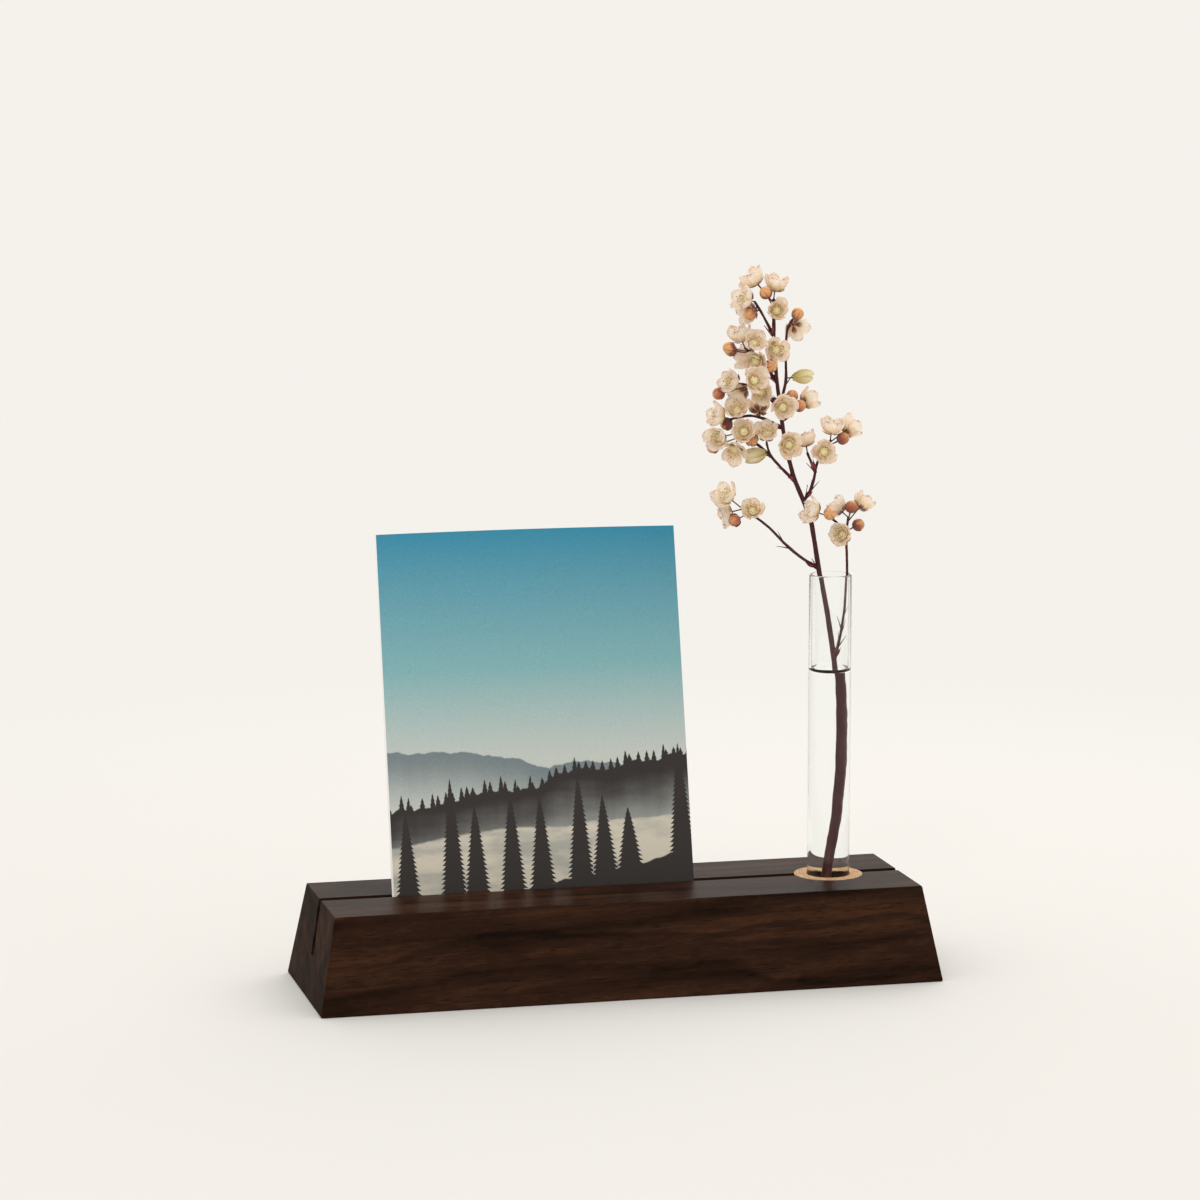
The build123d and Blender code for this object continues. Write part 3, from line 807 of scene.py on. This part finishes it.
def whorl(name, part, spots, material, slot, replaced=(), **ring):
    """A sprig piece of copies of a part in rings round spots, each with a place and an axis."""
    mesh = bpy.data.meshes.new(name)
    mesh.from_pydata([spot["place"] for spot in spots], [], [])
    axes = mesh.attributes.new("axis", "FLOAT_VECTOR", "POINT")
    axes.data.foreach_set("vector", [number for spot in spots for number in spot["axis"]])
    for field, usual in USUAL_SPOT.items():
        layer = mesh.attributes.new(field, "FLOAT", "POINT")
        layer.data.foreach_set("value", [spot.get(field, usual) for spot in spots])
    holder = add_object(f"{name}_spots", mesh)
    tree = bpy.data.node_groups.get("Whorl") or whorl_tree()
    modifier = holder.modifiers.new("Whorl", "NODES")
    modifier.node_group = tree
    values = {"Part": part, "Material": material, **USUAL_RING}
    values.update((key.title(), value) for key, value in ring.items())
    for item in tree.interface.items_tree:
        if item.in_out == "INPUT" and item.name in values:
            modifier[item.identifier] = values[item.name]
    graph = bpy.context.evaluated_depsgraph_get()
    grown = holder.evaluated_get(graph)
    made = bpy.data.meshes.new_from_object(grown, preserve_all_data_layers=True, depsgraph=graph)
    holder.modifiers.remove(modifier)
    bpy.data.objects.remove(holder)
    bpy.data.objects.remove(part)
    if not made.polygons:
        raise RuntimeError(f"{name} came out empty")
    made.name = name
    settle(add_object(name, made), "sprig", slot, *replaced)


def leaf(outline, across, along, thickness=0.0):
    """A thin leaf from a function of its sides (-1 to 1) and length (0 to 1), in millimetres."""
    sharp = math.radians(50)
    bm = bmesh.new()
    layer = bm.loops.layers.uv.new("UVMap")
    sides = [2 * step / across - 1 for step in range(across + 1)]
    rows = []
    for at in (step / along for step in range(along + 1)):
        places = [Vector(outline(side, at)) * MM for side in sides]
        rows.append([(bm.verts.new(place), (side + 1) / 2, at) for place, side in zip(places, sides)])
    for low, high in zip(rows, rows[1:]):
        for corners in zip(low, low[1:], high[1:], high):
            face = bm.faces.new([vert for vert, _, _ in corners])
            for loop, (_, u, v) in zip(face.loops, corners):
                loop[layer].uv = u, v
    bmesh.ops.remove_doubles(bm, verts=bm.verts, dist=MERGING)
    if thickness:
        bmesh.ops.solidify(bm, geom=bm.faces[:], thickness=thickness * MM)
        for edge in bm.edges:
            edge.smooth = edge.calc_face_angle(0.0) < sharp
    return smooth_object(outline.__name__, bm)


def polar(radius, turn, height):
    """A point at a radius and a turn about the axis of a part."""
    return radius * math.cos(turn), radius * math.sin(turn), height


def thread(out, thick, side, height):
    """A point on the skin of a thread that stands out from the axis of a part."""
    x, y, z = polar(thick, math.pi * side, height)
    return out + x, y, z


def round_part(profile, sides):
    """A small turned part from points of radius and height in millimetres."""

    def outline(side, at):
        radius, height = profile[round(at * (len(profile) - 1))]
        return polar(radius, math.pi * side, height)

    return leaf(outline, sides, len(profile) - 1)


class PHOTOBLOCK_OT_stage(bpy.types.Operator):
    """Set the floor, the light and the camera"""

    bl_idname = "photo_block.stage"
    bl_label = "Stage"

    FLOOR_SIZE = 4.0
    FLOOR_DROP = 0.1 * MM  # below the block
    FLOOR_FADES = (0.25, 0.75)  # between these distances, into the backdrop

    def execute(self, context):
        stage = context.scene.photo_block.stage
        self.set_floor(stage)
        self.set_world(context.scene, stage)
        self.set_lamp("key", stage, stage.key_power, stage.key_width, stage.key_place)
        self.set_lamp("spark", stage, stage.spark_power, stage.spark_width, stage.spark_place)
        self.set_camera(context.scene, stage)
        context.scene.view_settings.view_transform = "Standard"
        return {"FINISHED"}

    @staticmethod
    def seen(graph):
        """1 for rays that see the background: from the camera, or through gloss and glass."""
        rays = graph.node("ShaderNodeLightPath")
        first = graph.larger(rays.other("Is Camera Ray"), rays.other("Is Glossy Ray"))
        return graph.larger(first, rays.other("Is Transmission Ray"))

    def set_floor(self, stage):
        bm = bmesh.new()
        bmesh.ops.create_grid(bm, x_segments=2, y_segments=2, size=self.FLOOR_SIZE)
        bmesh.ops.translate(bm, verts=bm.verts, vec=(0.0, 0.0, -self.FLOOR_DROP))
        floor = smooth_object("floor", bm)
        finish = Finish("floor")
        x, y, _ = finish.split(finish.place())
        far = finish.step(finish.distance(x, y), *self.FLOOR_FADES)
        lit = finish.surface(base_color=stage.floor, roughness=0.9, specular_ior_level=0.0)
        plain = finish.coloured("ShaderNodeEmission", stage.backdrop)
        floor.data.materials.append(finish.done(finish.blended(self.seen(finish) * far, lit, plain)))

    def set_world(self, scene, stage):
        scene.world = bpy.data.worlds.new("studio")
        scene.world.use_nodes = True
        graph = Graph(scene.world.node_tree)
        height = graph.split(graph.node("ShaderNodeTexCoord", output="Generated"))[2]
        shade = graph.mixed(graph.step(height, 0.0, 1.0), stage.light_beside, stage.light_above)
        light = graph.node("ShaderNodeBackground", None, {"Color": shade, "Strength": stage.ambient})
        plain = graph.node("ShaderNodeBackground", None, {"Color": stage.backdrop, "Strength": 1.0})
        mixed = graph.blended(self.seen(graph), light, plain)
        graph.node("ShaderNodeOutputWorld", None, {"Surface": mixed})

    @staticmethod
    def set_lamp(name, stage, power, width, place):
        lamp = bpy.data.lights.new(name, "AREA")
        lamp.energy = power
        lamp.size = width
        lamp.color = stage.lamp_tint[:3]
        hung = add_object(name, lamp)
        hung.location = place
        hung.rotation_euler = (Vector(stage.target) - hung.location).to_track_quat("-Z", "Y").to_euler()

    @staticmethod
    def set_camera(scene, stage):
        lens = bpy.data.cameras.new("camera")
        lens.lens = stage.focal
        lens.clip_start = 0.01
        lens.clip_end = 50.0
        camera = add_object("camera", lens)
        back = Vector((0.0, -stage.distance, 0.0))
        back.rotate(Euler((-stage.elevation, 0.0, stage.azimuth)))
        camera.location = Vector(stage.target) + back
        camera.rotation_euler = (-back).to_track_quat("-Z", "Y").to_euler()
        scene.camera = camera


class PHOTOBLOCK_OT_woods(bpy.types.Operator):
    """Finish the walnut block and its oak bush"""

    bl_idname = "photo_block.woods"
    bl_label = "Block and bush"

    def execute(self, context):
        wood = context.scene.photo_block.wood
        dress("walnut_block", walnut(wood))
        dress("oak_bush", oak(wood))
        return {"FINISHED"}


class PHOTOBLOCK_OT_tube(bpy.types.Operator):
    """Blow the glass tube and fill it with water"""

    bl_idname = "photo_block.tube"
    bl_label = "Tube and water"

    FILM = 0.01 * MM  # between the water and the glass
    MENISCUS_SPREAD = 5  # how far in the water's edge is drawn, in reaches
    MENISCUS_STEPS = 14

    def execute(self, context):
        tube = context.scene.photo_block.tube
        low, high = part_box("glass_tube")
        middle = (low + high) / 2
        radius = (high.x - low.x) / 2
        bore = radius - tube.wall
        bowl = low.z + radius
        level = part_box("water")[1].z
        self.add_glass(tube, middle, radius, bore, bowl, high.z, level + tube.meniscus_rise)
        self.add_water(tube, middle, bore - self.FILM, bowl, level)
        return {"FINISHED"}

    @staticmethod
    def add_glass(tube, middle, radius, bore, bowl, rim, brim):
        """The tube, from the outside of its round foot over its melted rim to the inside of the foot."""
        soft = tube.rim_rounding
        profile = [
            *arc(0.0, bowl, radius, 0, 90),
            *arc(radius - soft, rim - soft, soft, 90, 180, RIM_STEPS),
            *arc(bore + soft, rim - soft, soft, 180, 270, RIM_STEPS),
            (bore, brim),
            *arc(0.0, bowl, bore, 90, 0),
        ]
        glass = turned("glass_tube_blown", profile, middle)
        shine = tube.glass_shine
        dry = clear("clear_glass", tube.glass_tint, tube.glass_bending, shine, tube.outline_fading)
        wet = clear("wet_glass", tube.water_tint, tube.glass_bending / tube.water_bending, shine)
        glass.data.materials.append(dry)
        glass.data.materials.append(wet)
        for face in glass.data.polygons:
            core = Vector((middle.x, middle.y, max(face.center.z, bowl)))
            if face.center.z < brim and face.normal.dot(face.center - core) < 0:
                face.material_index = 1
        settle(glass, "tube", "clear_glass", "glass_tube")

    def add_water(self, tube, middle, radius, bowl, level):
        """The water, which climbs a little up the glass."""
        reach = tube.meniscus_reach
        spread = self.MENISCUS_SPREAD * reach
        drops = [spread * step / self.MENISCUS_STEPS for step in range(self.MENISCUS_STEPS + 1)]
        climb = [(radius - drop, level + tube.meniscus_rise * math.exp(-drop / reach)) for drop in drops]
        water = turned("water_filling", [*arc(0.0, bowl, radius, 0, 90), *climb, (0.0, level)], middle)
        water.data.materials.append(clear("water", tube.water_tint, tube.water_bending, tube.glass_shine))
        water.data.materials.append(unseen("water_side"))
        for face in water.data.polygons:
            face.material_index = 0 if face.center.z > level else 1
        settle(water, "tube", "water", "water")


class PHOTOBLOCK_OT_print(bpy.types.Operator):
    """Print the picture"""

    bl_idname = "photo_block.print"
    bl_label = "Print"

    def execute(self, context):
        dress("photo_print", picture(context.scene.photo_block.print))
        return {"FINISHED"}


class PHOTOBLOCK_OT_stems(bpy.types.Operator):
    """Grow the woody stems, with scales at their forks and small bare spurs"""

    bl_idname = "photo_block.stems"
    bl_label = "Stems"

    # Each spur's share of its twig's length, and its turn in degrees: 0 is right, 180 left, 270 the front.
    SPURS = {
        "twig_fork": ((0.07, 330), (0.11, 190), (0.17, 20), (0.2, 170), (0.3, 300)),
        "twig_lower_left": ((0.3, 60), (0.36, 200), (0.44, 30), (0.8, 220), (0.86, 20)),
        "twig_right": ((0.1, 190), (0.14, 10)),
        "twig_left": ((0.25, 190),),
        "twig_top_right": ((0.22, 20), (0.3, 200)),
    }
    KNOBS = ((300.0, 0.1 * MM), (1100.0, 0.05 * MM))  # how often in a metre, and how high
    HIGHEST_KNOB = 0.3  # of the twig's radius
    FORK = 0.02  # share of a twig's length where its scales sit
    FORK_RADIUS = 0.5 * MM  # of the twig that a scale fits as drawn

    def execute(self, context):
        sprig = context.scene.photo_block.sprig
        names = named("main_stem", "twig_")
        rods = {node: Rod(node, sprig.twig_step) for node in names}
        stems = self.grown(sprig.twig_sides, rods.values())
        stems.data.materials.append(bark(sprig))
        settle(stems, "sprig", "stem_bark", *names)
        self.add_scales(sprig, rods)
        return {"FINISHED"}

    def grown(self, sides, rods):
        """Round knobbly twigs along the rods, each thickened where it leaves its parent."""
        bm = bmesh.new()
        turns = [math.tau * step / sides for step in range(sides)]
        for rod in rods:
            rings = []
            side = None
            for place, ahead, radius in rod.sections():
                side = ahead.orthogonal() if side is None else side - ahead * side.dot(ahead)
                side.normalize()
                ring = []
                for turn in turns:
                    away = side * math.cos(turn) + ahead.cross(side) * math.sin(turn)
                    point = place + away * radius
                    knob = sum(noise.noise(point * often) * high for often, high in self.KNOBS)
                    ring.append(bm.verts.new(point + away * min(knob, self.HIGHEST_KNOB * radius)))
                rings.append(ring)
            for low, high in zip(rings, rings[1:]):
                for corners in zip(low, low[1:] + low[:1], high[1:] + high[:1], high):
                    bm.faces.new(corners)
            bm.faces.new(reversed(rings[0]))
            bm.faces.new(rings[-1])
        return smooth_object("sprig_stems", bm)

    def add_scales(self, sprig, rods):
        chance = random.Random(sprig.seed)
        forks = []
        spurs = []
        for node, rod in rods.items():
            if rod.joined:
                place, ahead, radius = rod.at(self.FORK)
                fork = {"place": place, "axis": ahead, "spin": chance.uniform(0, math.tau)}
                forks.append({**fork, "size": radius / self.FORK_RADIUS * chance.uniform(0.9, 1.25)})
            for along, turn in self.SPURS.get(node, ()):
                place, ahead, _ = rod.at(along)
                spur = {"place": place, "axis": ahead, "spin": math.radians(turn)}
                spurs.append({**spur, "size": chance.uniform(0.7, 1.25)})

        def scale(side, at):
            """A pointed scale that stands away from its twig."""
            width = 0.8 * math.sin(math.pi * min(at + 0.12, 1.0))
            return 0.45 + 1.2 * at**1.4 + 0.1 * side * side, side * width, 3.6 * at

        def thorn(side, at):
            """A thin bare spur that bends away from its twig, closed at both ends."""
            thick = 0.28 - 0.2 * at if 0 < at < 1 else 0.0
            return thread(0.3 + 2.3 * at**1.3, thick, side, 5.6 * at)

        red = tinted("bract_red", sprig.bark, sprig.bract, 0.0, 0.5, 0.55)
        whorl(
            "fork_scales", leaf(scale, 4, 6, 0.12), forks, red, "stem_bark",
            count=3, turn=0.4, lean=0.15, size=0.25, seed=sprig.seed,
        )
        bare = tinted("spur_bark", sprig.bark, sprig.bark_light, 0.3, 1.3, 0.6)
        whorl(
            "bare_spurs", leaf(thorn, 8, 6), spurs, bare, "stem_bark",
            turn=0.3, lean=0.15, size=0.2, seed=sprig.seed,
        )


class PHOTOBLOCK_OT_flowers(bpy.types.Operator):
    """Set the blossoms, bells and buds on their stalks"""

    bl_idname = "photo_block.flowers"
    bl_label = "Blossoms, bells and buds"

    FOOTING = 0.4 * MM  # how deep a stalk's foot sits in its twig
    SHORTEST = 0.2 * MM  # of the stalks
    # Radius and height in millimetres along a stalk 1 mm long, and along a blossom's heart.
    STALK = ((0.0, 0.0), (0.3, 0.0), (0.24, 0.35), (0.26, 0.75), (0.36, 1.0), (0.0, 1.04))
    HEART = ((0.0, 0.3), (1.2, 0.5), (1.7, 1.0), (1.4, 1.5), (0.8, 1.85), (0.0, 1.95))
    INNER_TURN = 0.63  # of the inner petals, to stand between the outer ones

    def execute(self, context):
        sprig = context.scene.photo_block.sprig
        chance = random.Random(sprig.seed)
        bm = merged(*named("main_stem", "twig_"))
        twigs = BVHTree.FromBMesh(bm)
        bm.free()
        depths = {"blossoms_": sprig.blossom_depth, "bells_": sprig.bell_depth, "buds_": sprig.bud_depth}
        spots = {kind: [] for kind in depths}
        stalks = []
        for kind, depth in depths.items():
            for root, axis, reach in heads_of(kind, twigs):
                run = max(reach - depth, self.SHORTEST)
                spin = chance.uniform(0.0, math.tau)
                spot = {"place": root + axis * run, "axis": axis, "spin": spin, "tint": chance.random()}
                spots[kind].append(spot)
                foot = root - axis * self.FOOTING
                stalks.append({**spot, "place": foot, "stretch": (run + self.FOOTING) / MM})
        green = tinted("stalk_green", sprig.bark, sprig.cup, 0.1, 0.9, 0.55)
        stalk = round_part(self.STALK, 8)
        whorl("flower_stalks", stalk, stalks, green, "stem_bark", seed=sprig.seed)
        self.add_blossoms(sprig, spots["blossoms_"])
        self.add_bells(sprig, spots["bells_"])
        self.add_buds(sprig, spots["buds_"])
        return {"FINISHED"}

    def add_blossoms(self, sprig, spots):
        """Open cups of overlapping petals, with a heart, stamens and small cup leaves."""
        depth = sprig.blossom_depth / MM

        def bowl(at):
            """Radius and height of the blossom's bowl, from its foot to its rim."""
            return 4.5 * math.sin(at * math.pi / 2) ** 0.62 + 0.22, depth * 0.84 * at**1.35

        def petal(side, at):
            """A ruffled petal that curves out and up to a soft point, one edge under its neighbour."""
            out, height = bowl(at)
            wide = 3.7 * at**0.46 * (1 - 0.96 * at**7) ** 0.5
            sag = 0.25 * side * side * at + 0.35 * math.sin(3 * math.pi * side) ** 2 * at**5
            ruffle = 0.28 * side - 0.35 * side * side * at + 0.3 * math.sin(6.5 * side + 0.8) * at**3
            return polar(out + ruffle, side * wide / out, height - sag)

        def stamen(side, at):
            """A fine thread, closed at its foot, with a dot at its end."""
            neck = 0.88
            thick = 0.05 if at < neck else 0.15 * math.sin(math.pi * (1 - at) / (1 - neck))
            return thread(0.35 + 1.35 * at**1.5, thick if at else 0.0, side, 0.5 + 3.9 * at)

        def cup_leaf(side, at):
            """A small leaf pressed against the foot of the petals."""
            out, height = bowl(0.36 * at)
            wide = 1.5 * at**0.5 * (1 - 0.98 * at**3) ** 0.5
            return polar(out + 0.3, side * wide / (out + 0.3), height - 0.3)

        chance = random.Random(sprig.seed + 1)

        def varied(opening, sizes):
            """The spots with a chance opening and size each."""
            return [
                {**spot, "open": chance.uniform(*opening), "size": chance.uniform(*sizes)} for spot in spots
            ]

        outer = varied((-0.08, 0.12), (0.92, 1.0))
        inner = varied((-0.2, -0.05), (0.62, 0.72))
        for spot in inner:
            spot["spin"] += self.INNER_TURN
        pale = petal_finish("petals", sprig.petal_base, sprig.petal, sprig.petal_tip, sprig.blush, 0.6)
        whorl(
            "blossom_petals", leaf(petal, 12, 12, 0.1), outer, pale, "petals", named("blossoms_"),
            count=sprig.petals, turn=0.12, lean=0.14, size=0.07, seed=sprig.seed,
        )
        whorl(
            "inner_petals", leaf(petal, 8, 9, 0.12), inner, pale, "petals",
            count=sprig.petals - 1, turn=0.25, lean=0.16, size=0.12, seed=sprig.seed + 2,
        )
        dotted = tinted("stamens", sprig.heart, sprig.anther, 0.8, 0.9, 0.5)
        whorl(
            "blossom_stamens", leaf(stamen, 5, 14), spots, dotted, "petals",
            count=sprig.stamens, turn=0.25, lean=0.16, size=0.2, seed=sprig.seed,
        )
        yellow = tinted("heart", sprig.heart, sprig.petal_tip, 0.5, 1.4, 0.7)
        whorl("blossom_hearts", round_part(self.HEART, 12), spots, yellow, "petals")
        holding = tinted("cup_leaves", sprig.cup, sprig.petal_base, 0.35, 1.3, 0.5)
        whorl(
            "blossom_cups", leaf(cup_leaf, 4, 5, 0.1), spots, holding, "bud_scales",
            count=5, turn=0.2, lean=0.08, size=0.15, seed=sprig.seed,
        )

    @staticmethod
    def add_bells(sprig, spots):
        """Half-open blossoms: long petals wrapped round each other."""
        depth = sprig.bell_depth / MM

        def wrapped(side, at):
            """A long petal that closes towards its tip."""
            out = 2.55 * math.sin(math.pi * (0.06 + 0.74 * at)) ** 0.8 + 0.15
            wide = 2.5 * at**0.5 * (1 - 0.97 * at**5) ** 0.5
            reach = out + 0.4 * side + 0.25 * math.sin(5 * side) * at**3
            height = depth * (0.98 * at - 0.03 * side * side * at)
            return polar(reach, side * wide / max(out, 1.2), height)

        base = sprig.bell_base
        green = petal_finish("green_petals", base, sprig.bell, sprig.bell_tip, base, 0.55)
        whorl(
            "bell_petals", leaf(wrapped, 8, 10, 0.12), spots, green, "green_petals", named("bells_"),
            count=5, turn=0.15, lean=0.1, size=0.1, seed=sprig.seed,
        )

    @staticmethod
    def add_buds(sprig, spots):
        """Round closed buds in their small cups."""
        radius = sprig.bud_depth / 2 / MM

        def closed(side, at):
            """A round bud, with the seams of its folded petals winding up to a blunt tip."""
            turn, lift = math.pi * side, math.pi * at
            seam = (1 - abs(math.sin(BUD_SEAMS * turn / 2 + BUD_TWIST * at))) ** 4
            out = radius * 0.985 * math.sin(lift) ** 0.94 * (1 - 0.1 * seam * math.sin(lift))
            return polar(out, turn, radius * (1 - math.cos(lift)))

        def lobe(side, at):
            """A lobe of the cup, pressed on the bud."""
            turn = at * 1.7
            out = radius * math.sin(turn) + 0.1
            wide = 2.0 * at**0.4 * (1 - 0.97 * at**3) ** 0.5
            return polar(out, side * wide / max(out, 0.5), radius * (1 - math.cos(turn)) - 0.12)

        buds = leaf(closed, 40, 14)
        whorl("flower_buds", buds, spots, bud_skin(sprig), "bud_scales", named("buds_"), seed=sprig.seed)
        holding = tinted("bud_cup", sprig.cup, sprig.bud_base, 0.5, 1.2, 0.45)
        whorl(
            "bud_cups", leaf(lobe, 4, 6, 0.1), spots, holding, "bud_scales",
            count=4, turn=0.12, lean=0.03, size=0.1, seed=sprig.seed,
        )


class PHOTOBLOCK_PT_panel(bpy.types.Panel):
    """Lists the steps that dress the photo block"""

    bl_idname = "PHOTOBLOCK_PT_panel"
    bl_label = "Photo Block"
    bl_space_type = "VIEW_3D"
    bl_region_type = "UI"
    bl_category = "Photo Block"

    def draw(self, context):
        for step in STEPS:
            self.layout.operator(step.bl_idname)


STEPS = (
    PHOTOBLOCK_OT_stage,
    PHOTOBLOCK_OT_woods,
    PHOTOBLOCK_OT_tube,
    PHOTOBLOCK_OT_print,
    PHOTOBLOCK_OT_stems,
    PHOTOBLOCK_OT_flowers,
)
SETTINGS = (WoodSettings, TubeSettings, PrintSettings, SprigSettings, StageSettings, PhotoBlockSettings)
CLASSES = (*SETTINGS, *STEPS, PHOTOBLOCK_PT_panel)


def register():
    for each in CLASSES:
        bpy.utils.register_class(each)
    bpy.types.Scene.photo_block = PointerProperty(type=PhotoBlockSettings)


def unregister():
    del bpy.types.Scene.photo_block
    for each in reversed(CLASSES):
        bpy.utils.unregister_class(each)


def main():
    """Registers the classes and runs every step."""
    register()
    bpy.ops.photo_block.stage()
    bpy.ops.photo_block.woods()
    bpy.ops.photo_block.tube()
    bpy.ops.photo_block.print()
    bpy.ops.photo_block.stems()
    bpy.ops.photo_block.flowers()
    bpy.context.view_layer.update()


if __name__ == "__main__":
    main()
